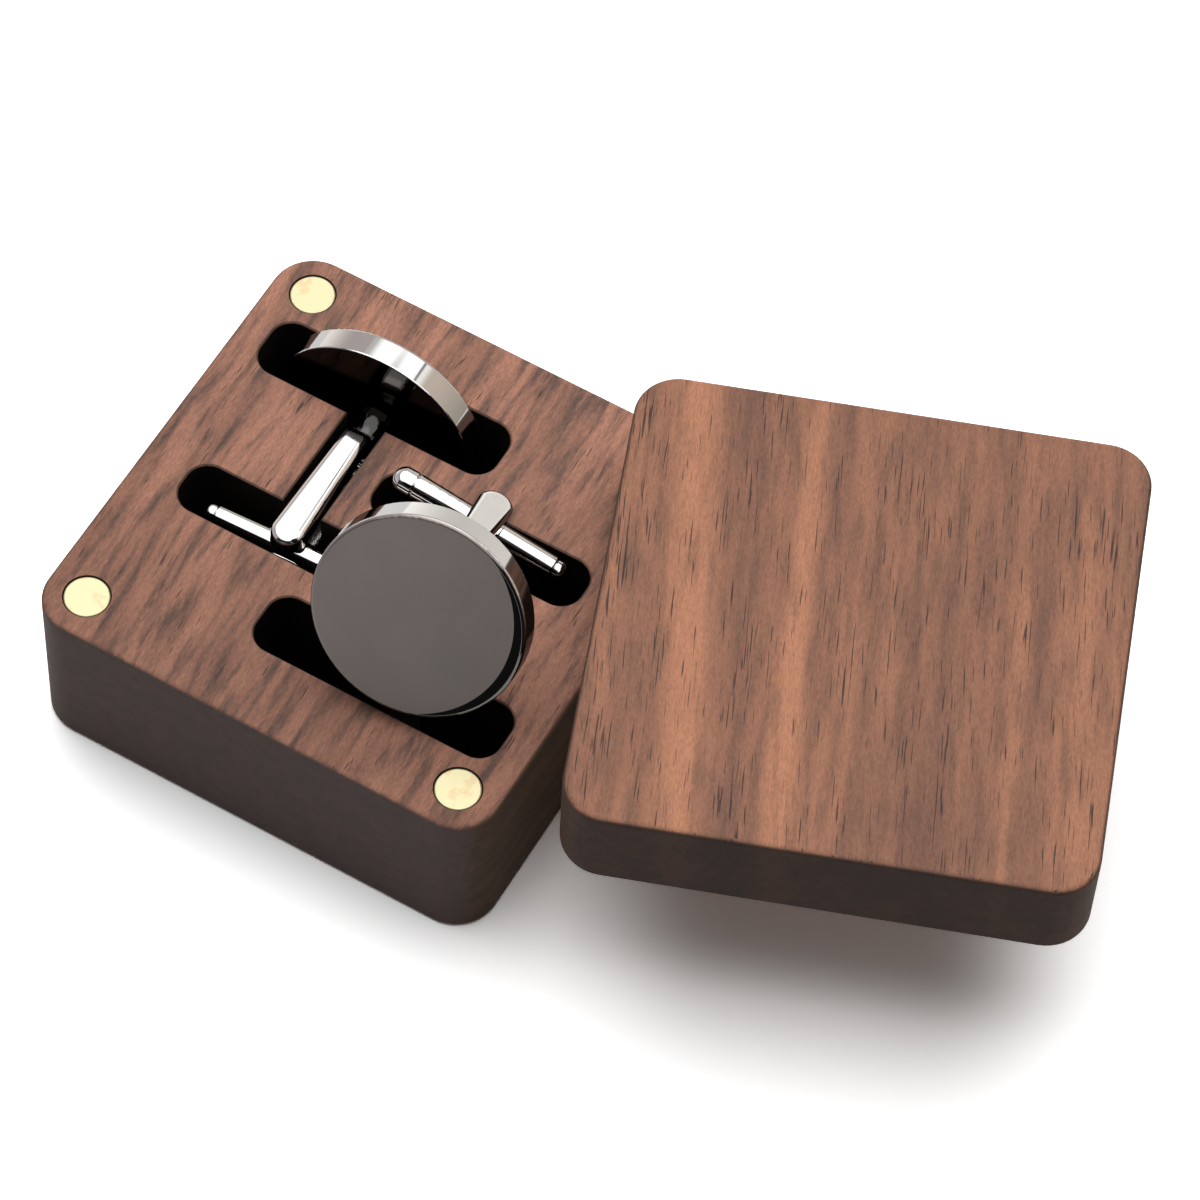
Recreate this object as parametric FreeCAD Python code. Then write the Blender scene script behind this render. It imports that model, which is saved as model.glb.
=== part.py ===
"""Walnut cufflink box with a magnet-held lid and a pair of swivel-bar cufflinks.

Millimetres, +Z up. The origin is the middle of the base's underside. The lid lies on the base's top, swung
out on one corner magnet. One cufflink sits in its pocket and the other is propped up out of its own.
"""
import FreeCAD
import Part
import math
import os

# Box
box_width = 44.0
base_height = 16.6
lid_height = 9.2
corner_radius = 3.9
edge_radius = 0.5
lid_swing = 20.6

# Magnets
magnet_diameter = 4.0
magnet_thickness = 2.0
magnet_inset = 3.85
magnet_play = 0.1
magnet_recess = 0.05
magnet_edge = 0.15

# Cufflink head and its foot
disc_diameter = 18.7
disc_thickness = 2.6
disc_face_radius = 0.3
disc_back_radius = 0.15
foot_diameter = 4.4
foot_lip = 0.35
foot_height = 2.2
neck_diameter = 2.3
foot_flare_share = 0.3

# Fork
pin_setback = 17.6
pin_diameter = 0.8
pin_fit = 0.01
pin_play = 0.05
fork_gap = 2.6
leg_thickness = 1.7
fork_root_width = 2.4
fork_eye_width = 3.2
fork_web = 1.5
fork_bend_radius = 1.5
fork_edge_radius = 0.7

# Toggle
dome_reach = 8.8
tip_reach = 8.0
barrel_dome_diameter = 2.3
barrel_tip_diameter = 1.9
cap_length = 2.0
cap_nose_radius = 1.05
tip_diameter = 1.66
tip_length = 1.1
tip_nose_radius = 0.6
groove_edge = 0.12
spigot_diameter = 0.9
spigot_length = 1.0
spigot_fit = 0.02

# Pockets
pocket_depth = 13.0
pocket_wall = 2.4
head_slot_place_share = 0.273864
head_slot_room_share = 0.46296
head_slot_width = 5.8
toggle_slot_room = 3.6
toggle_slot_width = 5.0
toggle_slot_set_in = 0.35
channel_width = 3.8
slot_corner_radius = 2.0
mouth_edge = 0.15
lid_recess_depth = 6.4

# Cufflink seated in its pocket
seat_shift_x = 0.3
seat_gap = 0.3
seat_yaw = 2.2
seat_pitch = -4.5

# Cufflink propped out of its pocket
prop_shift_x = 2.57
prop_shift_y = 1.11
prop_gap = 0.4
prop_yaw = 9.3
prop_pitch = 28.5
prop_roll = -14.0

# Shared values
overrun = 1.0
tolerance = 0.001
sharp_angle = math.radians(20)

X = FreeCAD.Vector(1, 0, 0)
Y = FreeCAD.Vector(0, 1, 0)
Z = FreeCAD.Vector(0, 0, 1)

magnet_centre = box_width / 2 - magnet_inset
disc_radius = disc_diameter / 2
disc_back = -disc_thickness
fork_root = disc_back - foot_height
fork_height = fork_gap + 2 * leg_thickness
pin_y = -pin_setback
slot_spacing = pin_setback - disc_thickness / 2 - toggle_slot_set_in
toggle_slot_length = dome_reach + tip_reach + toggle_slot_room
pocket_x = (toggle_slot_length / 2 + channel_width / 2 + pocket_wall) / 2
head_slot_y = box_width * head_slot_place_share
spare_beside_head = box_width / 2 - pocket_x - disc_radius
head_slot_length = disc_diameter + 2 * spare_beside_head * head_slot_room_share
barrel_start = tip_length - tip_reach
barrel_end = dome_reach - cap_length


def point(x, y, z):
    """A vector from three lengths."""
    return FreeCAD.Vector(x, y, z)


def edges_at(solid, axis, distance):
    """Edges whose middle lies at a distance along an axis."""
    return [e for e in solid.Edges if abs(e.CenterOfMass.dot(axis) - distance) < tolerance]


def is_sharp(solid, edge):
    """True where the two faces at an edge meet at an angle."""
    middle = edge.valueAt((edge.FirstParameter + edge.LastParameter) / 2)
    faces = solid.ancestorsOfType(edge, Part.Face)
    normals = [f.normalAt(*f.Surface.parameter(middle)) for f in faces]
    return len(normals) == 2 and normals[0].getAngle(normals[1]) > sharp_angle


def rod(diameter, start, length, direction):
    """A round rod from a start point along a direction."""
    return Part.makeCylinder(diameter / 2, length, start, direction)


def centred_box(width, length, height, floor):
    """A box centred on the Z axis, standing on a floor height."""
    return Part.makeBox(width, length, height, point(-width / 2, -length / 2, floor))


def rounded_bar(width, length, height, radius, floor):
    """A centred box with its upright edges rounded."""
    box = centred_box(width, length, height, floor)
    return box.makeFillet(radius, edges_at(box, Z, floor + height / 2))


# Box


def softened_block(height):
    """A square block with rounded corners and softened edges."""
    block = rounded_bar(box_width, box_width, height, corner_radius, 0)
    return block.makeFillet(edge_radius, edges_at(block, Z, 0) + edges_at(block, Z, height))


def both_ways(cutter):
    """A cutter and its copy turned half a turn about the box's middle."""
    return cutter.fuse(cutter.rotated(point(0, 0, 0), Z, 180))


def head_slot(depth, floor):
    """The slot that takes a head, at its place in the box."""
    slot = rounded_bar(head_slot_length, head_slot_width, depth, slot_corner_radius, floor)
    return slot.translated(point(-pocket_x, head_slot_y, 0))


def pocket():
    """One pocket: head slot, toggle slot and the stem channel between them."""
    floor = base_height - pocket_depth
    depth = pocket_depth + overrun
    toggle_y = head_slot_y - slot_spacing
    toggle_slot = rounded_bar(toggle_slot_length, toggle_slot_width, depth, slot_corner_radius, floor)
    channel = centred_box(channel_width, slot_spacing, depth, floor)
    cutter = head_slot(depth, floor)
    cutter = cutter.fuse(toggle_slot.translated(point(-pocket_x, toggle_y, 0)))
    cutter = cutter.fuse(channel.translated(point(-pocket_x, head_slot_y - slot_spacing / 2, 0)))
    return cutter.removeSplitter()


def magnet_places():
    """Corner places of the magnets, counter-clockwise from the +X +Y corner."""
    signs = ((1, 1), (-1, 1), (-1, -1), (1, -1))
    return [point(sx * magnet_centre, sy * magnet_centre, 0) for sx, sy in signs]


def magnet_at(place, face, inward):
    """A magnet just under a face, and the hole that it is glued into."""
    recessed = place + Z * face + inward * magnet_recess
    magnet = rod(magnet_diameter, recessed, magnet_thickness, inward)
    magnet = magnet.makeFillet(magnet_edge, edges_at(magnet, Z, recessed.z))
    outside = place + Z * face - inward * overrun
    depth = overrun + magnet_recess + magnet_thickness
    return magnet, rod(magnet_diameter + 2 * magnet_play, outside, depth, inward)


def break_mouths(block, face):
    """Chamfer the edges of every opening in a block's level face."""
    level = [f for f in block.Faces if abs(f.CenterOfMass.z - face) < tolerance]
    top = max(level, key=lambda f: f.Area)
    mouths = [w for w in top.Wires if not w.isSame(top.OuterWire)]
    return block.makeChamfer(mouth_edge, [e for w in mouths for e in w.Edges])


def base_pieces():
    """The base block and its four magnets."""
    block = softened_block(base_height).cut(both_ways(pocket()))
    block = break_mouths(block, base_height)
    pieces = {}
    for number, place in enumerate(magnet_places(), 1):
        pieces["base_magnet_%d" % number], hole = magnet_at(place, base_height, -Z)
        block = block.cut(hole)
    pieces["base_block"] = block
    return pieces


def lid_pieces():
    """The lid and its four magnets, swung out on the magnet of one corner."""
    block = softened_block(lid_height)
    recess = head_slot(lid_recess_depth + overrun, -overrun)
    block = break_mouths(block.cut(both_ways(recess)), 0)
    pieces = {}
    names = ("lid_magnet_1", "lid_pivot_magnet", "lid_magnet_2", "lid_magnet_3")
    for name, place in zip(names, magnet_places()):
        pieces[name], hole = magnet_at(place, 0, Z)
        block = block.cut(hole)
    pieces["lid_block"] = block
    pivot = magnet_places()[1]
    seat = magnet_places()[0] + Z * base_height
    swung = FreeCAD.Placement(seat, FreeCAD.Rotation(Z, lid_swing))
    for piece in pieces.values():
        piece.translate(-pivot)
        piece.Placement = swung.multiply(piece.Placement)
    return pieces


# Cufflink, with the face's middle at the origin, the face towards +Y and the pin along Z


def head_disc():
    """The round head, its face edge softened and its back edge just broken."""
    disc = rod(disc_diameter, point(0, 0, 0), disc_thickness, -Y)
    disc = disc.makeFillet(disc_face_radius, edges_at(disc, Y, 0))
    return disc.makeFillet(disc_back_radius, edges_at(disc, Y, disc_back))


def post_foot():
    """The flared foot, turned about the post's axis."""
    lip = disc_back - foot_lip
    flare_middle = neck_diameter + (foot_diameter - neck_diameter) * foot_flare_share
    start = point(foot_diameter / 2, lip, 0)
    middle = point(flare_middle / 2, (lip + fork_root) / 2, 0)
    end = point(neck_diameter / 2, fork_root, 0)
    flare = Part.Arc(start, middle, end).toShape()
    rest = Part.makePolygon([end, point(0, fork_root, 0), point(0, disc_back, 0),
                             point(foot_diameter / 2, disc_back, 0), start])
    outline = Part.Wire([flare] + rest.Edges)
    return Part.Face(outline).revolve(point(0, 0, 0), Y, 360)


def fork_plan():
    """The fork seen along the pin: straight flanks, tangent to the round eye at the pin."""
    eye_radius = fork_eye_width / 2
    root = point(fork_root_width / 2, fork_root, 0)
    run = root - point(0, pin_y, 0)
    turn = math.atan2(run.y, run.x) - math.acos(eye_radius / run.Length)
    touch = point(eye_radius * math.cos(turn), pin_y + eye_radius * math.sin(turn), 0)
    far_root = point(-root.x, root.y, 0)
    far_touch = point(-touch.x, touch.y, 0)
    eye = Part.Arc(touch, point(0, pin_y - eye_radius, 0), far_touch).toShape()
    rest = Part.makePolygon([far_touch, far_root, root, touch])
    plan = Part.Face(Part.Wire([eye] + rest.Edges))
    return plan.translated(-Z * fork_height / 2).extrude(Z * fork_height)


def fork_side():
    """The fork seen from the side: a U with rounded outer bends and a round inner end."""
    leg_end = pin_y - fork_eye_width
    bar = centred_box(fork_eye_width, fork_root - leg_end, fork_height, -fork_height / 2)
    bar = bar.translated(Y * (fork_root + leg_end) / 2)
    bends = [e for e in edges_at(bar, Y, fork_root) if abs(e.CenterOfMass.x) < tolerance]
    bar = bar.makeFillet(fork_bend_radius, bends)
    inner_end = fork_root - fork_web - fork_gap / 2
    slot = centred_box(fork_eye_width, inner_end - leg_end, fork_gap, -fork_gap / 2)
    slot = slot.translated(Y * (inner_end + leg_end) / 2)
    bend = rod(fork_gap, point(-fork_eye_width / 2, inner_end, 0), fork_eye_width, X)
    return bar.cut(slot.fuse(bend))


def fork():
    """The two-legged post with softened outer edges, drilled for the pin."""
    blank = fork_plan().common(fork_side())
    outer = []
    for edge in blank.Edges:
        middle = edge.CenterOfMass
        in_gap = abs(middle.z) < fork_gap / 2 + tolerance and middle.y < fork_root - tolerance
        if is_sharp(blank, edge) and not in_gap:
            outer.append(edge)
    legs = blank.makeFillet(fork_edge_radius, outer)
    drill = rod(pin_diameter + 2 * pin_fit, point(0, pin_y, -fork_height), 2 * fork_height, Z)
    return legs.cut(drill)


def hinge_pin():
    """The pin, flush with the outside of both legs."""
    return rod(pin_diameter, point(0, pin_y, -fork_height / 2), fork_height, Z)


def toggle_barrel():
    """The tapered bar with a socket at each end, bored for the pin."""
    start = point(barrel_start, pin_y, 0)
    length = barrel_end - barrel_start
    bar = Part.makeCone(barrel_tip_diameter / 2, barrel_dome_diameter / 2, length, start, X)
    bar = bar.makeChamfer(groove_edge, edges_at(bar, X, barrel_start) + edges_at(bar, X, barrel_end))
    socket = spigot_diameter + 2 * spigot_fit
    bar = bar.cut(rod(socket, start, spigot_length, X))
    bar = bar.cut(rod(socket, point(barrel_end, pin_y, 0), spigot_length, -X))
    bore = rod(pin_diameter + 2 * pin_play, point(0, pin_y, -fork_gap), 2 * fork_gap, Z)
    return bar.cut(bore)


def toggle_end(diameter, root, length, nose_radius, direction):
    """A round-nosed end piece with the spigot that plugs into the barrel."""
    seat = point(root, pin_y, 0)
    nose = seat + direction * length
    body = rod(diameter, seat, length, direction)
    body = body.makeFillet(nose_radius, edges_at(body, X, nose.x))
    body = body.makeChamfer(groove_edge, edges_at(body, X, root))
    return body.fuse(rod(spigot_diameter, seat, spigot_length, -direction)).removeSplitter()


def cufflink_pieces():
    """Every piece of one cufflink in its own frame."""
    return {
        "head_disc": head_disc(),
        "post_foot": post_foot(),
        "fork": fork(),
        "hinge_pin": hinge_pin(),
        "toggle_barrel": toggle_barrel(),
        "toggle_dome_cap": toggle_end(barrel_dome_diameter, barrel_end, cap_length, cap_nose_radius, X),
        "toggle_tip": toggle_end(tip_diameter, barrel_start, tip_length, tip_nose_radius, -X),
    }


def seated_pose():
    """A cufflink in its pocket, its head upright in the slot and its toggle a little high."""
    turn = FreeCAD.Rotation(Z, seat_yaw) * FreeCAD.Rotation(X, seat_pitch)
    half = disc_thickness / 2
    lean = math.radians(abs(seat_pitch))
    height = base_height - pocket_depth + seat_gap + disc_radius * math.cos(lean) + half * math.sin(lean)
    middle = point(-pocket_x - seat_shift_x, head_slot_y, height)
    return FreeCAD.Placement(middle + turn.multVec(Y * half), turn)


def propped_pose():
    """A cufflink leaning out of the other pocket, its face turned up and its toggle over its slot."""
    turn = FreeCAD.Rotation(Z, 180 + prop_yaw) * FreeCAD.Rotation(X, prop_pitch)
    turn = turn * FreeCAD.Rotation(Y, prop_roll)
    tilt = math.radians(prop_pitch)
    height = base_height + prop_gap + disc_radius * math.cos(tilt) + disc_thickness * math.sin(tilt)
    return FreeCAD.Placement(point(pocket_x + prop_shift_x, prop_shift_y - head_slot_y, height), turn)


def main():
    """Build every piece at its place and write one file for each."""
    os.makedirs("parts", exist_ok=True)
    pieces = base_pieces()
    pieces.update(lid_pieces())
    for name, pose in (("cufflink_1", seated_pose()), ("cufflink_2", propped_pose())):
        for piece, solid in cufflink_pieces().items():
            solid.Placement = pose.multiply(solid.Placement)
            pieces["%s_%s" % (name, piece)] = solid
    for name, solid in pieces.items():
        solid.exportStep("parts/%s.step" % name)
        print(name, solid.isValid(), len(solid.Solids), round(solid.Volume, 3))


main()
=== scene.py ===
"""Looks for the walnut cufflink box: wood, magnets, plated cufflinks, floor, light and camera.

Lengths are metres on the stage and millimetres in the pieces' sizes and their finishes.
"""
import enum
import logging
import math
from dataclasses import dataclass, field

import bpy
from mathutils import Matrix, Vector

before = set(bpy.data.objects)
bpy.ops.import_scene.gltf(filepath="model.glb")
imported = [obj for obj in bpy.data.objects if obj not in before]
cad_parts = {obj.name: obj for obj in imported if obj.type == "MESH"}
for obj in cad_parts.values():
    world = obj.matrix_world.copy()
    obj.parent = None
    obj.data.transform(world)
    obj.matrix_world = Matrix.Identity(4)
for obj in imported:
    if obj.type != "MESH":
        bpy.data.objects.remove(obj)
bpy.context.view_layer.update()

log = logging.getLogger("cufflink_box")
MILLIMETRE = 0.001
PER_METRE = 1000.0

WAVER_WIDTH = 13.0
WAVER_LENGTH = 34.0
BAND_STRETCH = 11.0
CLUSTER_WIDTH = 1.7
CLUSTER_LENGTH = 8.0
FIBRE_WIDTH = 0.13
FIBRE_LENGTH = 0.5
SCRATCH_WIDTH = 0.05
SCRATCH_LENGTH = 0.6

Socket = bpy.types.NodeSocket
Colour = tuple[float, float, float]
Value = float | Socket


class Blend(enum.Enum):
    """Ways to lay one colour over another."""

    MIX = "MIX"
    ADD = "ADD"
    MULTIPLY = "MULTIPLY"


class Plating(enum.Enum):
    """The two platings on a cufflink."""

    HEAD = "head_metal"
    BRIGHT = "bright_metal"


class Graph:
    """A node tree with short calls that add and join nodes."""

    def __init__(self, tree: bpy.types.NodeTree) -> None:
        """Keep the tree that the nodes go into."""
        self.tree = tree

    def add(self, kind: str, **settings: object) -> bpy.types.Node:
        """Add a node.

        Args:
            kind: Blender's name of the node type, without the ShaderNode part.
            settings: Properties of the node to set.

        Returns:
            The new node.
        """
        node = self.tree.nodes.new("ShaderNode" + kind)
        for name, value in settings.items():
            setattr(node, name, value)
        return node

    def feed(self, socket: Socket, value: object) -> None:
        """Join a socket to another, or set its value.

        Args:
            socket: The input socket.
            value: A socket to join, a number, or a colour or vector.
        """
        if isinstance(value, Socket):
            self.tree.links.new(value, socket)
        elif isinstance(value, tuple) and socket.type == "RGBA":
            socket.default_value = (*value, 1.0)
        else:
            socket.default_value = value

    def sum(self, operation: str, first: Value, second: Value = 0.0, clamp: bool = False) -> Socket:
        """Work out one arithmetic step.

        Args:
            operation: Blender's name of the step, such as MULTIPLY.
            first: First number or socket.
            second: Second number or socket.
            clamp: Whether the result is kept between 0 and 1.

        Returns:
            The socket with the result.
        """
        node = self.add("Math", operation=operation, use_clamp=clamp)
        self.feed(node.inputs[0], first)
        self.feed(node.inputs[1], second)
        return node.outputs[0]

    def step(self, value: Value, low: Value, high: Value, start: float = 0.0, end: float = 1.0) -> Socket:
        """Ease a value from one level to another.

        Args:
            value: The number to follow.
            low: Where the rise starts.
            high: Where the rise ends.
            start: Level below low.
            end: Level above high.

        Returns:
            The socket with the eased level.
        """
        node = self.add("MapRange", interpolation_type="SMOOTHSTEP")
        for name, given in (("Value", value), ("From Min", low), ("From Max", high),
                            ("To Min", start), ("To Max", end)):
            self.feed(node.inputs[name], given)
        return node.outputs["Result"]

    def mix(self, share: Value, under: object, over: object, blend: Blend = Blend.MIX) -> Socket:
        """Lay one colour over another.

        Args:
            share: How much of the upper colour shows.
            under: The lower colour.
            over: The upper colour.
            blend: How they are laid.

        Returns:
            The socket with the mixed colour.
        """
        node = self.add("Mix", data_type="RGBA", blend_type=blend.value, clamp_factor=True)
        self.feed(node.inputs["Factor"], share)
        self.feed(node.inputs[6], under)
        self.feed(node.inputs[7], over)
        return node.outputs[2]

    def parts(self, vector: Socket) -> list[Socket]:
        """Split a vector into its three numbers.

        Args:
            vector: The vector's socket.

        Returns:
            The sockets with its x, y and z.
        """
        node = self.add("SeparateXYZ")
        self.feed(node.inputs[0], vector)
        return list(node.outputs)

    def vector(self, x: Value, y: Value, z: Value) -> Socket:
        """Join three numbers into a vector.

        Args:
            x: First number or socket.
            y: Second number or socket.
            z: Third number or socket.

        Returns:
            The socket with the vector.
        """
        node = self.add("CombineXYZ")
        for socket, value in zip(node.inputs, (x, y, z)):
            self.feed(socket, value)
        return node.outputs[0]

    def noise(self, place: Socket, detail: float, roughness: float = 0.5) -> Socket:
        """A smooth random value that follows a place.

        Args:
            place: The place, already scaled to the size of the pattern.
            detail: Number of finer layers.
            roughness: Strength of the finer layers.

        Returns:
            The socket with a value about 0.5.
        """
        node = self.add("TexNoise")
        self.feed(node.inputs["Vector"], place)
        self.feed(node.inputs["Scale"], 1.0)
        self.feed(node.inputs["Detail"], detail)
        self.feed(node.inputs["Roughness"], roughness)
        return node.outputs["Fac"]


class Group:
    """A shader node group with named inputs and outputs."""

    def __init__(self, name: str, inputs: dict[str, str], outputs: tuple[str, ...]) -> None:
        """Make an empty group.

        Args:
            name: Name of the group.
            inputs: Input names with their socket types.
            outputs: Names of the outputs, all plain values.
        """
        self.tree = bpy.data.node_groups.new(name, "ShaderNodeTree")
        for label, kind in inputs.items():
            self.tree.interface.new_socket(label, in_out="INPUT", socket_type=kind)
        for label in outputs:
            self.tree.interface.new_socket(label, in_out="OUTPUT", socket_type="NodeSocketFloat")
        self.graph = Graph(self.tree)
        self.inputs = self.tree.nodes.new("NodeGroupInput").outputs
        self.outputs = self.tree.nodes.new("NodeGroupOutput").inputs

    def put_out(self, label: str, value: Socket) -> None:
        """Join a value to one of the group's outputs."""
        self.graph.feed(self.outputs[label], value)

    def place_in(self, graph: Graph, **values: object) -> bpy.types.Node:
        """Place the group in a material.

        Args:
            graph: The material's nodes.
            values: Input values or sockets, with _ for a blank in the input's name.

        Returns:
            The group's node.
        """
        node = graph.add("Group", node_tree=self.tree)
        for label, value in values.items():
            graph.feed(node.inputs[label.replace("_", " ")], value)
        return node


def grain_group() -> Group:
    """Grain of a hardwood that runs along Y, from a place in millimetres.

    Returns:
        The group. Across is the place across the grain with its waver in it, and the other
        outputs are values about 0.5.
    """
    number = "NodeSocketFloat"
    group = Group("hardwood_grain", {
        "Place": "NodeSocketVector", "Tilt": number, "Waver": number, "Band Width": number,
        "Streak Width": number, "Streak Length": number, "Pore Width": number, "Pore Length": number,
    }, ("Across", "Band", "Streak", "Pore", "Cluster", "Fibre"))
    g, given = group.graph, group.inputs
    x, y, z = g.parts(given["Place"])

    def scaled(across: Value, along: Value, up: Value) -> Socket:
        """The place, divided by a pattern's size across, along and up."""
        return g.vector(g.sum("DIVIDE", across_grain, across), g.sum("DIVIDE", y, along),
                        g.sum("DIVIDE", z, up))

    slow = g.vector(g.sum("DIVIDE", x, WAVER_WIDTH), g.sum("DIVIDE", y, WAVER_LENGTH),
                    g.sum("DIVIDE", z, WAVER_WIDTH))
    waver = g.sum("MULTIPLY", g.sum("SUBTRACT", g.noise(slow, 2.0), 0.5), given["Waver"])
    across_grain = g.sum("ADD", g.sum("ADD", x, g.sum("MULTIPLY", y, given["Tilt"])), waver)
    band_width, streak_width, pore_width = (given[name + " Width"] for name in ("Band", "Streak", "Pore"))
    band_along = g.sum("MULTIPLY", band_width, BAND_STRETCH)
    group.put_out("Across", across_grain)
    group.put_out("Band", g.noise(scaled(band_width, band_along, band_width), 2.0))
    group.put_out("Streak", g.noise(scaled(streak_width, given["Streak Length"], streak_width), 4.0, 0.55))
    group.put_out("Pore", g.noise(scaled(pore_width, given["Pore Length"], pore_width), 1.0))
    group.put_out("Cluster", g.noise(scaled(CLUSTER_WIDTH, CLUSTER_LENGTH, CLUSTER_WIDTH), 1.0))
    group.put_out("Fibre", g.noise(scaled(FIBRE_WIDTH, FIBRE_LENGTH, FIBRE_WIDTH), 2.0, 0.6))
    return group


def wear_group() -> Group:
    """Marks of handling on metal, from a place in millimetres.

    Returns:
        The group. Smudge is soft and wide, Scratch is fine, both about 0.5.
    """
    group = Group("handling_marks", {"Place": "NodeSocketVector", "Smudge Size": "NodeSocketFloat"},
                  ("Smudge", "Scratch"))
    g, given = group.graph, group.inputs
    x, y, z = g.parts(given["Place"])
    wide = g.vector(*(g.sum("DIVIDE", part, given["Smudge Size"]) for part in (x, y, z)))
    fine = g.vector(g.sum("DIVIDE", x, SCRATCH_WIDTH), g.sum("DIVIDE", y, SCRATCH_LENGTH),
                    g.sum("DIVIDE", z, SCRATCH_LENGTH))
    group.put_out("Smudge", g.noise(wide, 3.0))
    group.put_out("Scratch", g.noise(fine, 2.0))
    return group


GRAIN = grain_group()
WEAR = wear_group()


def new_material(name: str) -> tuple[bpy.types.Material, Graph, bpy.types.Node]:
    """Start a material with a Principled shader.

    Args:
        name: Name of the material.

    Returns:
        The material, its nodes and its shader.
    """
    material = bpy.data.materials.new(name)
    material.use_nodes = True
    material.node_tree.nodes.clear()
    graph = Graph(material.node_tree)
    shader = graph.add("BsdfPrincipled")
    output = graph.add("OutputMaterial")
    graph.feed(output.inputs["Surface"], shader.outputs["BSDF"])
    return material, graph, shader


def press(g: Graph, shader: bpy.types.Node, height: Socket, strength: float, depth: float) -> None:
    """Press a fine pattern into a finish.

    Args:
        g: The material's nodes.
        shader: The material's shader.
        height: The pattern.
        strength: How clearly the pattern shows.
        depth: Depth of the pattern, in metres.
    """
    relief = g.add("Bump")
    g.feed(relief.inputs["Strength"], strength)
    g.feed(relief.inputs["Distance"], depth)
    g.feed(relief.inputs["Height"], height)
    g.feed(shader.inputs["Normal"], relief.outputs["Normal"])


@dataclass(frozen=True)
class GrainBand:
    """A band that runs along the grain, in millimetres across the block."""

    place: float
    half_width: float
    strength: float
    drift: float = 0.0

    def lift(self, g: Graph, across: Socket, along: Socket) -> Socket:
        """How much the band adds at a place.

        Args:
            g: The material's nodes.
            across: The place across the grain.
            along: The place along the grain.

        Returns:
            The socket with the band's strength, fading to 0 off the band.
        """
        middle = g.sum("ADD", self.place, g.sum("MULTIPLY", along, self.drift))
        off = g.sum("DIVIDE", g.sum("SUBTRACT", across, middle), self.half_width)
        bell = g.sum("EXPONENT", g.sum("MULTIPLY", g.sum("MULTIPLY", off, off), -1.0))
        return g.sum("MULTIPLY", bell, self.strength)


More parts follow.
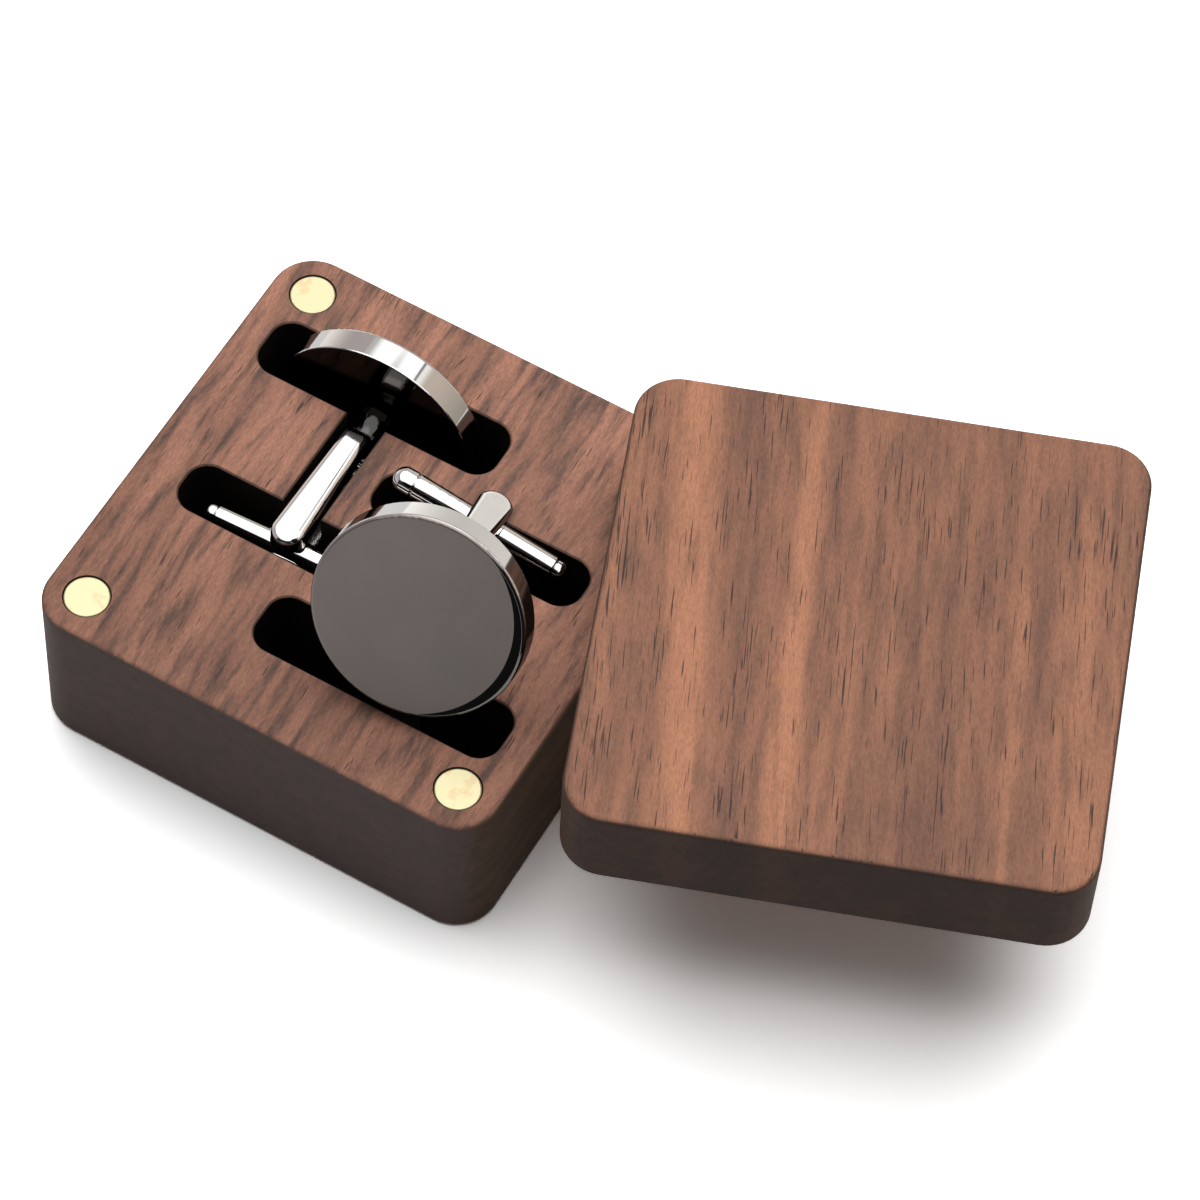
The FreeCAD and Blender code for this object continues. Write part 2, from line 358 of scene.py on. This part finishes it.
@dataclass(frozen=True)
class WalnutFinish:
    """Oiled walnut. Pattern sizes are millimetres in the block's own frame."""

    name: str
    shade: Colour
    pale: Colour
    dark: Colour
    pore: Colour
    mouth_height: float
    pocket_side: float
    pocket_depth: float
    middle: tuple[float, float] = (0.0, 0.0)
    turn: float = 0.0
    tilt: float = 0.0
    waver: float = 3.0
    band_width: float = 4.0
    streak_width: float = 0.7
    streak_length: float = 7.0
    pore_width: float = 0.2
    pore_length: float = 3.2
    level: float = 0.3
    mottle: float = 0.15
    streak_share: float = 0.8
    pore_share: float = 0.8
    pore_start: float = 0.66
    speckle: float = 0.12
    # End faces: walnut's darker end grain, deepened further on the lid as painted shade.
    end_grain_and_shade: Colour = (0.112, 0.086, 0.080)
    # The blocks' ±X faces are painted dark: painted shade, not a colour of the walnut.
    painted_side_shade: Colour = (0.076, 0.056, 0.038)
    # Near-black painted shade on the pockets' walls, fading in just below the mouth.
    pocket_shade: Colour = (0.007, 0.005, 0.004)
    pocket_reach: float = 20.8
    pocket_fade: tuple[float, float] = (0.0, 0.3)
    # Painted light falloff along Y: these scale the wood's colour from the front to the back.
    painted_front_shade: float = 1.0
    painted_back_light: float = 1.0
    # Share of the wood's colour that glossy rays see: painted shade that darkens the wood as metal mirrors
    # it.
    mirrored: float = 0.3
    half_side: float = 22.0
    streak_hold: float = 0.09
    streak_rise: tuple[float, float] = (0.35, 0.71)
    cluster_share: float = 0.3
    pore_rise: float = 0.09
    side_share: float = 0.2
    end_share: float = 0.12
    roughness: tuple[float, float] = (0.62, 0.85)
    specular: float = 0.1
    bands: tuple[GrainBand, ...] = ()
    pore_bands: tuple[GrainBand, ...] = ()

    def place(self, g: Graph) -> Socket:
        """The place in the block's own frame.

        Args:
            g: The material's nodes.

        Returns:
            The socket with the place, in millimetres.
        """
        coordinates = g.add("TexCoord")
        moved = g.add("VectorMath", operation="SUBTRACT")
        g.feed(moved.inputs[0], coordinates.outputs["Object"])
        g.feed(moved.inputs[1], (self.middle[0] * MILLIMETRE, self.middle[1] * MILLIMETRE, 0.0))
        turned = g.add("VectorRotate", rotation_type="Z_AXIS")
        g.feed(turned.inputs["Vector"], moved.outputs[0])
        g.feed(turned.inputs["Angle"], -math.radians(self.turn))
        scaled = g.add("VectorMath", operation="SCALE")
        g.feed(scaled.inputs[0], turned.outputs[0])
        g.feed(scaled.inputs["Scale"], PER_METRE)
        return scaled.outputs[0]

    def facing(self, g: Graph) -> list[Socket]:
        """The surface's direction in the block's own frame.

        Args:
            g: The material's nodes.

        Returns:
            The sockets with its x, y and z.
        """
        coordinates = g.add("TexCoord")
        turned = g.add("VectorRotate", rotation_type="Z_AXIS")
        g.feed(turned.inputs["Vector"], coordinates.outputs["Normal"])
        g.feed(turned.inputs["Angle"], -math.radians(self.turn))
        return g.parts(turned.outputs[0])

    def pocket_shade_mask(self, g: Graph, place: Socket) -> Socket:
        """Painted shade down the pockets: how far a point lies down into them, from 0 at the mouth to 1.

        Args:
            g: The material's nodes.
            place: The place in the block's own frame.

        Returns:
            The socket with the mask.
        """
        x, y, z = g.parts(place)
        reach = g.sum("MAXIMUM", g.sum("ABSOLUTE", x), g.sum("ABSOLUTE", y))
        inside = g.sum("LESS_THAN", reach, self.pocket_reach)
        depth = g.sum("MULTIPLY", g.sum("SUBTRACT", z, self.mouth_height), self.pocket_side)
        above_floor = g.sum("LESS_THAN", depth, self.pocket_depth)
        shade = g.step(depth, self.pocket_fade[0], self.pocket_fade[1])
        return g.sum("MULTIPLY", g.sum("MULTIPLY", inside, above_floor), shade)

    def material(self) -> bpy.types.Material:
        """Build the wood.

        Returns:
            The material.
        """
        material, g, shader = new_material(self.name)
        place = self.place(g)
        grain = GRAIN.place_in(
            g, Place=place, Tilt=self.tilt, Waver=self.waver, Band_Width=self.band_width,
            Streak_Width=self.streak_width, Streak_Length=self.streak_length,
            Pore_Width=self.pore_width, Pore_Length=self.pore_length).outputs
        across = grain["Across"]
        _, y, _ = g.parts(place)
        pale = g.step(grain["Band"], 0.3, 0.7, self.level - self.mottle, self.level + self.mottle)
        for band in self.bands:
            pale = g.sum("ADD", pale, band.lift(g, across, y))
        colour = g.mix(pale, self.shade, self.pale)
        held = g.sum("SUBTRACT", grain["Streak"], g.sum("MULTIPLY", pale, self.streak_hold))
        colour = g.mix(g.step(held, *self.streak_rise, 0.0, self.streak_share), colour, self.dark)
        dense = g.sum("MULTIPLY", g.sum("SUBTRACT", grain["Cluster"], 0.5), self.cluster_share)
        for band in self.pore_bands:
            dense = g.sum("ADD", dense, band.lift(g, across, y))
        pore = g.step(g.sum("ADD", grain["Pore"], dense), self.pore_start, self.pore_start + self.pore_rise,
                      0.0, self.pore_share)
        colour = g.mix(pore, colour, self.pore)
        fleck = g.step(grain["Fibre"], 0.25, 0.75, 1.0 - self.speckle, 1.0 + self.speckle)
        # Painted light falloff: darker towards the front, lighter towards the back; it multiplies the real
        # speckle.
        painted_falloff = g.step(y, -self.half_side, self.half_side, self.painted_front_shade, self.painted_back_light)
        tone = g.sum("MULTIPLY", fleck, painted_falloff)
        colour = g.mix(1.0, colour, g.vector(tone, tone, tone), Blend.MULTIPLY)
        across_face, along_face, _ = self.facing(g)
        # Darken the ±X faces: painted shade.
        side = g.step(g.sum("ABSOLUTE", across_face), 0.35, 0.85)
        colour = g.mix(side, colour, g.mix(self.side_share, self.painted_side_shade, colour))
        # Darken the end faces: real end grain, and on the lid also painted shade.
        end = g.step(g.sum("ABSOLUTE", along_face), 0.5, 0.9)
        colour = g.mix(end, colour, g.mix(self.end_share, self.end_grain_and_shade, colour))
        # Paint the pockets' walls near black: painted shade.
        colour = g.mix(self.pocket_shade_mask(g, place), colour, self.pocket_shade)
        # Darken the wood for glossy rays only: painted shade in what the metal mirrors.
        glossy = g.add("LightPath").outputs["Is Glossy Ray"]
        colour = g.mix(g.sum("MULTIPLY", glossy, 1.0 - self.mirrored), colour, (0.0, 0.0, 0.0))
        g.feed(shader.inputs["Base Color"], colour)
        g.feed(shader.inputs["Roughness"], g.step(pore, 0.0, 1.0, *self.roughness))
        shader.inputs["Specular IOR Level"].default_value = self.specular
        height = g.sum("SUBTRACT", g.sum("MULTIPLY", grain["Fibre"], 0.5), pore)
        press(g, shader, height, 0.35, 0.00006)
        return material


def metal_place(g: Graph) -> Socket:
    """The place on a metal piece.

    Args:
        g: The material's nodes.

    Returns:
        The socket with the place, in millimetres.
    """
    coordinates = g.add("TexCoord")
    scaled = g.add("VectorMath", operation="SCALE")
    g.feed(scaled.inputs[0], coordinates.outputs["Object"])
    g.feed(scaled.inputs["Scale"], PER_METRE)
    return scaled.outputs[0]


@dataclass(frozen=True)
class MagnetFinish:
    """Pale gold plate with a few peach finger marks."""

    name: str = "magnet_plate"
    plate: Colour = (0.565, 0.516, 0.309)
    smudge: Colour = (0.535, 0.400, 0.222)
    roughness: float = 0.34
    metallic: float = 0.55

    def material(self) -> bpy.types.Material:
        """Build the plate.

        Returns:
            The material.
        """
        material, g, shader = new_material(self.name)
        wear = WEAR.place_in(g, Place=metal_place(g), Smudge_Size=1.9).outputs
        mark = g.step(wear["Smudge"], 0.53, 0.63, 0.0, 0.75)
        g.feed(shader.inputs["Base Color"], g.mix(mark, self.plate, self.smudge))
        g.feed(shader.inputs["Metallic"], self.metallic)
        uneven = g.sum("MULTIPLY", g.sum("SUBTRACT", wear["Scratch"], 0.5), 0.2)
        g.feed(shader.inputs["Roughness"], g.sum("ADD", self.roughness, uneven))
        press(g, shader, wear["Scratch"], 0.05, 0.00002)
        return material


@dataclass(frozen=True)
class PlatedFinish:
    """Polished plating with faint handling marks."""

    name: str
    tone: Colour
    haze: Colour
    roughness: float = 0.07

    def material(self) -> bpy.types.Material:
        """Build the plating.

        Returns:
            The material.
        """
        material, g, shader = new_material(self.name)
        wear = WEAR.place_in(g, Place=metal_place(g), Smudge_Size=4.0).outputs
        haze = g.step(wear["Smudge"], 0.4, 0.75, 0.0, 0.5)
        g.feed(shader.inputs["Base Color"], g.mix(haze, self.tone, self.haze))
        g.feed(shader.inputs["Metallic"], 1.0)
        rough = g.sum("ADD", self.roughness, g.sum("MULTIPLY", haze, 0.06))
        g.feed(shader.inputs["Roughness"], rough)
        press(g, shader, wear["Scratch"], 0.02, 0.00001)
        return material


@dataclass(frozen=True)
class HeadFinish:
    """A cufflink head: bright rim, satin dark face and a narrow polished, near-black crescent at one side
    of the face: a painted dark reflection.

    The face's middle is in millimetres, and across and up are the face's own axes.
    """

    name: str
    middle: Vector
    facing: Vector
    across: Vector
    up: Vector
    rim: Colour = (0.53, 0.52, 0.51)
    satin: Colour = (0.235, 0.204, 0.192)
    # Near-black crescent at one side of the face: a painted dark reflection.
    painted_dark_crescent: Colour = (0.004, 0.0038, 0.0037)
    # Grey ring at the face's outer edge inside the crescent: a painted edge highlight.
    painted_edge_line: Colour = (0.150, 0.145, 0.140)
    # The head's back is painted near black, far darker than its rim: painted shade.
    back: Colour = (0.045, 0.041, 0.039)
    thickness: float = 2.6
    satin_middle: tuple[float, float] = (1.59, 0.01)
    satin_radius: float = 9.78
    painted_edge_line_radius: float = 9.02
    # Painted shading across the satin face: darker towards one side, lighter towards the other.
    painted_shading_way: float = 40.0
    painted_shading_reach: float = 10.0
    painted_shading_tones: tuple[float, float] = (0.83, 1.13)
    satin_roughness: float = 0.34
    polish: float = 0.05

    def along(self, g: Graph, place: Socket, way: Vector) -> Socket:
        """Distance of a place from the face's middle along one way.

        Args:
            g: The material's nodes.
            place: The place on the head.
            way: The way, as a unit vector.

        Returns:
            The socket with the distance, in millimetres.
        """
        node = g.add("VectorMath", operation="DOT_PRODUCT")
        g.feed(node.inputs[0], place)
        g.feed(node.inputs[1], tuple(way))
        return g.sum("SUBTRACT", node.outputs["Value"], self.middle.dot(way))

    def distance(self, g: Graph, place: Socket, centre: tuple[float, float]) -> Socket:
        """Distance across the face from a point on it, in millimetres.

        Args:
            g: The material's nodes.
            place: The place on the head.
            centre: The point, on the face's own axes.

        Returns:
            The socket with the distance.
        """
        x = g.sum("SUBTRACT", self.along(g, place, self.across), centre[0])
        y = g.sum("SUBTRACT", self.along(g, place, self.up), centre[1])
        return g.sum("SQRT", g.sum("ADD", g.sum("MULTIPLY", x, x), g.sum("MULTIPLY", y, y)))

    def material(self) -> bpy.types.Material:
        """Build the head's plating.

        Returns:
            The material.
        """
        material, g, shader = new_material(self.name)
        place = metal_place(g)
        wear = WEAR.place_in(g, Place=place, Smudge_Size=5.0).outputs
        depth = self.along(g, place, self.facing)
        face = g.step(depth, -0.17, -0.14)
        # Mask of the head's back, which takes the painted shade.
        back = g.step(depth, 0.03 - self.thickness, 0.06 - self.thickness, 1.0, 0.0)
        turn = math.radians(self.painted_shading_way)
        rise = self.along(g, place, self.across * math.cos(turn) + self.up * math.sin(turn))
        # The satin circle sits off the face's middle, leaving the painted dark reflection as a crescent at
        # one side.
        off = self.distance(g, place, self.satin_middle)
        painted_dark_crescent = g.step(off, self.satin_radius - 0.03, self.satin_radius + 0.03)
        # Mask of the painted edge highlight ring.
        painted_edge_line = g.step(self.distance(g, place, (0.0, 0.0)), self.painted_edge_line_radius - 0.02, self.painted_edge_line_radius + 0.02)
        # Painted shading across the face, multiplied with the real smudges.
        fade = g.step(rise, -self.painted_shading_reach, self.painted_shading_reach, *self.painted_shading_tones)
        smudge_and_shading = g.sum("MULTIPLY", g.step(wear["Smudge"], 0.3, 0.7, 0.97, 1.03), fade)
        satin = g.mix(1.0, self.satin, g.vector(smudge_and_shading, smudge_and_shading, smudge_and_shading), Blend.MULTIPLY)
        on_face = g.mix(painted_dark_crescent, satin, g.mix(painted_edge_line, self.painted_dark_crescent, self.painted_edge_line))
        colour = g.mix(back, g.mix(face, self.rim, on_face), self.back)
        g.feed(shader.inputs["Base Color"], colour)
        shader.inputs["Metallic"].default_value = 1.0
        dull = g.sum("MULTIPLY", face, g.sum("SUBTRACT", 1.0, painted_dark_crescent))
        rough = g.step(dull, 0.0, 1.0, self.polish, self.satin_roughness)
        g.feed(shader.inputs["Roughness"], g.sum("ADD", rough, g.sum("MULTIPLY", wear["Scratch"], 0.02)))
        press(g, shader, wear["Scratch"], 0.015, 0.00001)
        return material


def dress(node: str, material: bpy.types.Material) -> None:
    """Give a CAD piece its finish and smooth shading.

    Args:
        node: Name of the piece.
        material: The finish.
    """
    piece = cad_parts[node]
    piece.data.materials.clear()
    piece.data.materials.append(material)
    for face in piece.data.polygons:
        face.use_smooth = True
        face.material_index = 0
    log.info("%s takes %s", node, material.name)


@dataclass
class Base:
    """The lower block with its pockets and four magnets, in millimetres."""

    top: float = 16.6
    pocket_depth: float = 13.3
    finish: WalnutFinish = field(init=False)
    plate: MagnetFinish = field(default_factory=MagnetFinish)

    def __post_init__(self) -> None:
        """Set the block's wood."""
        self.finish = WalnutFinish(
            name="walnut_base", shade=(0.285, 0.142, 0.100), pale=(0.500, 0.240, 0.163),
            dark=(0.118, 0.078, 0.066), pore=(0.070, 0.050, 0.044), mouth_height=self.top, pocket_side=-1.0,
            pocket_depth=self.pocket_depth, tilt=0.04, waver=3.4, band_width=2.2, streak_width=0.8,
            streak_length=6.2, pore_width=0.15, pore_length=2.2, level=0.52, mottle=0.36, streak_share=0.95,
            # The base's top is painted darker at the front and lighter at the back: painted light falloff.
            pore_start=0.69, speckle=0.17, painted_front_shade=0.82, painted_back_light=1.06, end_grain_and_shade=(0.118, 0.094, 0.089))

    def dress(self) -> None:
        """Dress the block and its magnets."""
        dress("base_block", self.finish.material())
        plate = self.plate.material()
        for number in range(1, 5):
            dress("base_magnet_%d" % number, plate)


@dataclass
class Lid:
    """The upper block with its recesses and four magnets, swung out on one corner, in millimetres."""

    underside: float = 16.6
    recess_depth: float = 6.7
    middle: tuple[float, float] = (41.526, 7.547)
    swing: float = 20.6
    finish: WalnutFinish = field(init=False)
    plate: MagnetFinish = field(default_factory=lambda: MagnetFinish(name="magnet_plate_lid"))

    def __post_init__(self) -> None:
        """Set the lid's wood."""
        self.finish = WalnutFinish(
            name="walnut_lid", shade=(0.262, 0.130, 0.090), pale=(0.540, 0.246, 0.144),
            dark=(0.150, 0.090, 0.070), pore=(0.066, 0.050, 0.050), mouth_height=self.underside,
            pocket_side=1.0, pocket_depth=self.recess_depth, middle=self.middle, turn=self.swing,
            tilt=0.07, waver=1.6, band_width=3.2, streak_width=1.0, streak_length=7.0, pore_width=0.14,
            pore_length=4.2, level=0.34, mottle=0.24, streak_share=0.55, pore_share=0.9,
            # The lid's end faces are set darker than the base's: painted shade over the end grain.
            pore_start=0.655, speckle=0.15, end_grain_and_shade=(0.055, 0.043, 0.040),
            # The lid's ±X faces are painted dark: painted shade.
            painted_side_shade=(0.060, 0.045, 0.033),
            bands=(GrainBand(-14.7, 1.9, 0.75, -0.036), GrainBand(-5.3, 1.1, 0.72, 0.018),
                   GrainBand(13.1, 0.7, 0.34, 0.023), GrainBand(18.5, 2.6, 0.16, 0.02),
                   GrainBand(-9.6, 1.7, -0.26, -0.01), GrainBand(7.2, 2.2, -0.18, 0.02)),
            pore_bands=(GrainBand(-20.4, 1.4, 0.075, 0.02), GrainBand(-9.8, 1.3, 0.045, -0.01),
                        GrainBand(8.0, 3.0, 0.02), GrainBand(19.5, 2.0, 0.03)))

    def dress(self) -> None:
        """Dress the lid and its magnets."""
        dress("lid_block", self.finish.material())
        plate = self.plate.material()
        for name in ("lid_pivot_magnet", "lid_magnet_1", "lid_magnet_2", "lid_magnet_3"):
            dress(name, plate)


@dataclass
class Cufflink:
    """One cufflink: head, foot, fork, pin and toggle, with its pose in millimetres and degrees."""

    number: int
    middle: tuple[float, float, float]
    yaw: float
    pitch: float
    roll: float
    bright: bpy.types.Material
    foot: bpy.types.Material

    def head(self) -> bpy.types.Material:
        """Build the head's plating on the face's own axes.

        Returns:
            The material.
        """
        yaw, pitch, roll = (Matrix.Rotation(math.radians(angle), 3, axis)
                            for angle, axis in ((self.yaw, "Z"), (self.pitch, "X"), (self.roll, "Y")))
        turn = yaw @ pitch @ roll
        return HeadFinish("head_plating_%d" % self.number, Vector(self.middle), turn.col[1], turn.col[0],
                          turn.col[2]).material()

    def dress(self) -> None:
        """Dress every piece of the cufflink."""
        # The post foot counts as bright plating but takes the near-black finish: painted shade.
        finishes = {"head_disc": (Plating.HEAD, self.head()), "post_foot": (Plating.BRIGHT, self.foot)}
        for piece in ("fork", "hinge_pin", "toggle_barrel", "toggle_dome_cap", "toggle_tip"):
            finishes[piece] = (Plating.BRIGHT, self.bright)
        for piece, (plating, material) in finishes.items():
            dress("cufflink_%d_%s" % (self.number, piece), material)


@dataclass(frozen=True)
class SkyPanel:
    """A panel that metal mirrors, with its bearing from +Y towards +X, in degrees."""

    bearing: float
    half_width: float
    low: float
    high: float
    colour: Colour
    upper: Colour
    side_edge: float = 7.0
    low_edge: float = 1.2
    high_edge: float = 1.2

    def lay(self, g: Graph, direction: Socket, under: object) -> Socket:
        """Lay the panel over the sky.

        Args:
            g: The world's nodes.
            direction: The direction that is looked in.
            under: Colour of the sky behind the panel.

        Returns:
            The socket with the sky's colour, panel and all.
        """
        x, y, z = g.parts(direction)
        turn = math.radians(self.bearing)
        level = g.sum("SQRT", g.sum("MAXIMUM", g.sum("SUBTRACT", 1.0, g.sum("MULTIPLY", z, z)), 1e-6))
        side = g.sum("ADD", g.sum("MULTIPLY", x, math.sin(turn)), g.sum("MULTIPLY", y, math.cos(turn)))
        side = g.sum("DIVIDE", side, level)
        outer, inner = (math.cos(math.radians(self.half_width + way * self.side_edge)) for way in (1, -1))
        low = [math.sin(math.radians(self.low + way * self.low_edge)) for way in (-1, 1)]
        high = [math.sin(math.radians(self.high + way * self.high_edge)) for way in (-1, 1)]
        within = g.sum("MULTIPLY", g.step(z, *low), g.step(z, *high, 1.0, 0.0))
        mask = g.sum("MULTIPLY", within, g.step(side, outer, inner))
        fade = g.step(z, math.sin(math.radians(self.low)), math.sin(math.radians(self.high)))
        return g.mix(mask, under, g.mix(fade, self.colour, self.upper))


@dataclass
class Studio:
    """White floor, overhead softbox with panels round it, and the camera."""

    floor_back: float = 0.15
    floor_front: float = 3.0
    floor_drop: float = 0.00002
    floor_colour: Colour = (0.50, 0.50, 0.50)
    floor_mirrored: Colour = (1.12, 1.12, 1.11)
    floor_seen: Colour = (1.86, 1.86, 1.86)
    fill: Colour = (0.10, 0.10, 0.10)
    lamp_from: tuple[float, float, float] = (-0.168, 0.289, 1.0)
    lamp_inner: float = 21.5
    lamp_outer: float = 42.8
    lamp_level: float = 2.9
    room: Colour = (0.035, 0.034, 0.034)
    softbox_from: tuple[float, float, float] = (0.0, -0.14, 0.99)
    softbox_reach: float = 45.0
    softbox_edge: float = 1.2
    softbox_level: float = 1.7
    panels: tuple[SkyPanel, ...] = (
        SkyPanel(-100.0, 42.0, -14.0, 34.0, (0.66, 0.62, 0.69), (0.56, 0.52, 0.58)),
        SkyPanel(62.0, 34.0, -14.0, 43.0, (0.52, 0.47, 0.395), (0.93, 0.79, 0.68)),
        SkyPanel(10.0, 24.0, -14.0, 40.0, (1.14, 1.10, 1.04), (0.66, 0.62, 0.56)),
        SkyPanel(-28.0, 22.0, -14.0, 14.0, (1.70, 1.67, 1.62), (0.66, 0.62, 0.57)),
        SkyPanel(-28.0, 22.0, 12.0, 40.0, (0.66, 0.62, 0.57), (0.62, 0.58, 0.54)),
        SkyPanel(-62.0, 20.0, -8.0, 24.0, (1.40, 1.30, 1.26), (0.67, 0.59, 0.575)),
        SkyPanel(-62.0, 20.0, 22.0, 40.0, (0.67, 0.59, 0.575), (0.69, 0.61, 0.60)),
        SkyPanel(-25.0, 100.0, 42.5, 51.5, (2.4, 2.4, 2.4), (2.4, 2.4, 2.4), low_edge=6.0, high_edge=0.7),
        SkyPanel(38.0, 24.0, 43.9, 45.2, (0.10, 0.09, 0.08), (0.10, 0.09, 0.08), low_edge=0.4,
                 high_edge=0.4),
    )
    azimuth: float = 26.952
    elevation: float = 57.856
    roll: float = 3.527
    distance: float = 0.490971
    target: tuple[float, float, float] = (0.014290, 0.013133, 0.0)
    focal_share: float = 5586.86 / 1200.0
    sensor: float = 36.0

    def floor(self) -> bpy.types.Object:
        """Lay the floor.

        Returns:
            The floor's object.
        """
        mesh = bpy.data.meshes.new("floor")
        back, front = self.floor_back, -self.floor_front
        corners = [(-back, front), (back, front), (back, back), (-back, back)]
        mesh.from_pydata([(x, y, -self.floor_drop) for x, y in corners], [], [(0, 1, 2, 3)])
        sheet = bpy.data.objects.new("floor", mesh)
        bpy.context.scene.collection.objects.link(sheet)
        material = bpy.data.materials.new("floor_paper")
        material.use_nodes = True
        material.node_tree.nodes.clear()
        g = Graph(material.node_tree)
        path = g.add("LightPath").outputs
        mirrored = g.sum("MAXIMUM", path["Is Glossy Ray"], path["Is Transmission Ray"])
        colour = g.mix(mirrored, self.floor_colour, self.floor_mirrored)
        colour = g.mix(path["Is Camera Ray"], colour, self.floor_seen)
        paper = g.add("BsdfDiffuse")
        g.feed(paper.inputs["Color"], colour)
        g.feed(g.add("OutputMaterial").inputs["Surface"], paper.outputs[0])
        mesh.materials.append(material)
        return sheet

    def towards(self, g: Graph, direction: Socket, way: tuple[float, float, float]) -> Socket:
        """Measure how near the direction that is looked in comes to a given way.

        Args:
            g: The world's nodes.
            direction: The direction that is looked in.
            way: The way to compare it with.

        Returns:
            The socket with the cosine of the angle between them.
        """
        node = g.add("VectorMath", operation="DOT_PRODUCT")
        g.feed(node.inputs[0], direction)
        g.feed(node.inputs[1], tuple(Vector(way).normalized()))
        return node.outputs["Value"]

    def light(self) -> None:
        """Set the sky: a lamp over the back left with a little fill, and the studio that metal mirrors."""
        world = bpy.data.worlds.new("studio")
        bpy.context.scene.world = world
        world.use_nodes = True
        world.node_tree.nodes.clear()
        g = Graph(world.node_tree)
        direction = g.add("TexCoord").outputs["Generated"]
        near, far = (math.cos(math.radians(a)) for a in (self.lamp_inner, self.lamp_outer))
        glow = g.step(self.towards(g, direction, self.lamp_from), far, near, 0.0, self.lamp_level)
        lit = g.mix(1.0, self.fill, g.vector(glow, glow, glow), Blend.ADD)
        mirrored: object = self.room
        for panel in self.panels:
            mirrored = panel.lay(g, direction, mirrored)
        rim = [math.cos(math.radians(self.softbox_reach + way * self.softbox_edge)) for way in (1, -1)]
        box = g.step(self.towards(g, direction, self.softbox_from), *rim)
        level = g.sum("ADD", g.sum("MULTIPLY", glow, 0.5), self.softbox_level)
        mirrored = g.mix(box, mirrored, g.vector(level, level, level))
        path = g.add("LightPath").outputs
        colour = g.mix(g.sum("MAXIMUM", path["Is Glossy Ray"], path["Is Transmission Ray"]), lit, mirrored)
        colour = g.mix(path["Is Camera Ray"], colour, (1.0, 1.0, 1.0))
        lamp = g.add("Background")
        g.feed(lamp.inputs["Color"], colour)
        g.feed(g.add("OutputWorld").inputs["Surface"], lamp.outputs[0])

    def camera(self) -> bpy.types.Object:
        """Place the camera at the photograph's viewing angle.

        Returns:
            The camera.
        """
        turn, rise, roll = (math.radians(v) for v in (self.azimuth, self.elevation, self.roll))
        back = Vector((math.sin(turn) * math.cos(rise), -math.cos(turn) * math.cos(rise), math.sin(rise)))
        right = Vector((math.cos(turn), math.sin(turn), 0.0))
        up = back.cross(right)
        right, up = (right * math.cos(roll) + up * math.sin(roll),
                     up * math.cos(roll) - right * math.sin(roll))
        data = bpy.data.cameras.new("camera")
        data.sensor_width = self.sensor
        data.lens = self.sensor * self.focal_share
        camera = bpy.data.objects.new("camera", data)
        bpy.context.scene.collection.objects.link(camera)
        place = Matrix((right, up, back)).transposed().to_4x4()
        place.translation = Vector(self.target) + back * self.distance
        camera.matrix_world = place
        bpy.context.scene.camera = camera
        return camera


def main() -> None:
    """Dress the pieces, then set the stage."""
    logging.basicConfig(level=logging.INFO, format="%(name)s: %(message)s")
    Base().dress()
    Lid().dress()
    bright = PlatedFinish(name="bright_plating", tone=(0.66, 0.65, 0.64), haze=(0.62, 0.61, 0.60),
                          roughness=0.04).material()
    # Near-black finish for the post foot: painted shade on bright plating.
    foot = PlatedFinish(name="foot_painted_shade", tone=(0.060, 0.057, 0.055), haze=(0.050, 0.048, 0.046),
                        roughness=0.08).material()
    Cufflink(number=1, middle=(-7.600, 13.345, 13.221), yaw=2.2, pitch=-4.5, roll=0.0,
             bright=bright, foot=foot).dress()
    Cufflink(number=2, middle=(9.820, -10.940, 26.4575), yaw=189.3, pitch=28.5, roll=-14.0,
             bright=bright, foot=foot).dress()
    studio = Studio()
    studio.floor()
    studio.light()
    studio.camera()
    bpy.context.scene.view_settings.view_transform = "Standard"


if __name__ == "__main__":
    main()
